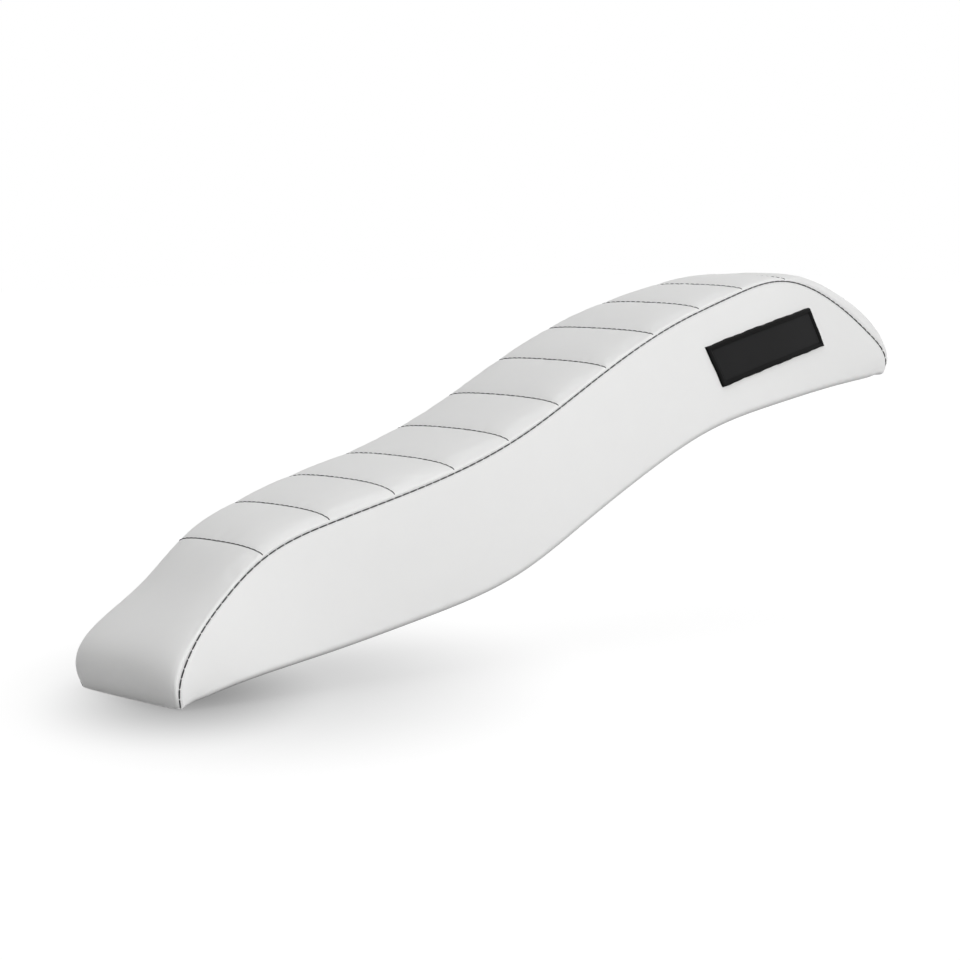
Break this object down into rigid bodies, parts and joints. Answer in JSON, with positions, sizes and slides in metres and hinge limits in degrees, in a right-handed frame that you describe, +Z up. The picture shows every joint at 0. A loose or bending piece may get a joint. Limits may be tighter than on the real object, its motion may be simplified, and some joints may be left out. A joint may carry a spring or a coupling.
{
  "type": "bench seat",
  "caption": "Long S-curved motorbike bench seat: pleated white vinyl cover sewn over foam on a moulded pan, with threaded inserts below to bolt it to the frame.",
  "frame": {"origin": "midway between the two rear threaded inserts, on their mounting face under the pan", "axes": "+X to the tail, +Y to the rider's right, +Z up, as the seat sits on the bike"},
  "size_m": [0.694, 0.1442, 0.2539],
  "materials": {
    "pan_plastic": "fine moulded grain",
    "seat_foam": "open-cell foam",
    "cover_vinyl": "smooth satin vinyl",
    "sewing_thread": "twisted bonded thread",
    "patch_rubber": "matte moulded",
    "staple_steel": "galvanised wire",
    "insert_brass": "turned",
    "buffer_rubber": "matte"
  },
  "bodies": {
    "root": {"base_pan": "pan_plastic", "foam_core": "seat_foam", "top_panel": "cover_vinyl", "left_side_panel": "cover_vinyl", "right_side_panel": "cover_vinyl", "left_seam_thread": "sewing_thread", "right_seam_thread": "sewing_thread", "pleat_thread_01": "sewing_thread", "pleat_thread_02": "sewing_thread", "pleat_thread_03": "sewing_thread", "pleat_thread_04": "sewing_thread", "pleat_thread_05": "sewing_thread", "pleat_thread_06": "sewing_thread", "pleat_thread_07": "sewing_thread", "pleat_thread_08": "sewing_thread", "pleat_thread_09": "sewing_thread", "pleat_thread_10": "sewing_thread", "pleat_thread_11": "sewing_thread", "side_patch": "patch_rubber", "cover_staples": "staple_steel", "front_insert_left": "insert_brass", "front_insert_right": "insert_brass", "rear_insert_left": "insert_brass", "rear_insert_right": "insert_brass", "front_buffer_left": "buffer_rubber", "front_buffer_right": "buffer_rubber", "rear_buffer_left": "buffer_rubber", "rear_buffer_right": "buffer_rubber"}
  },
  "joints": []
}
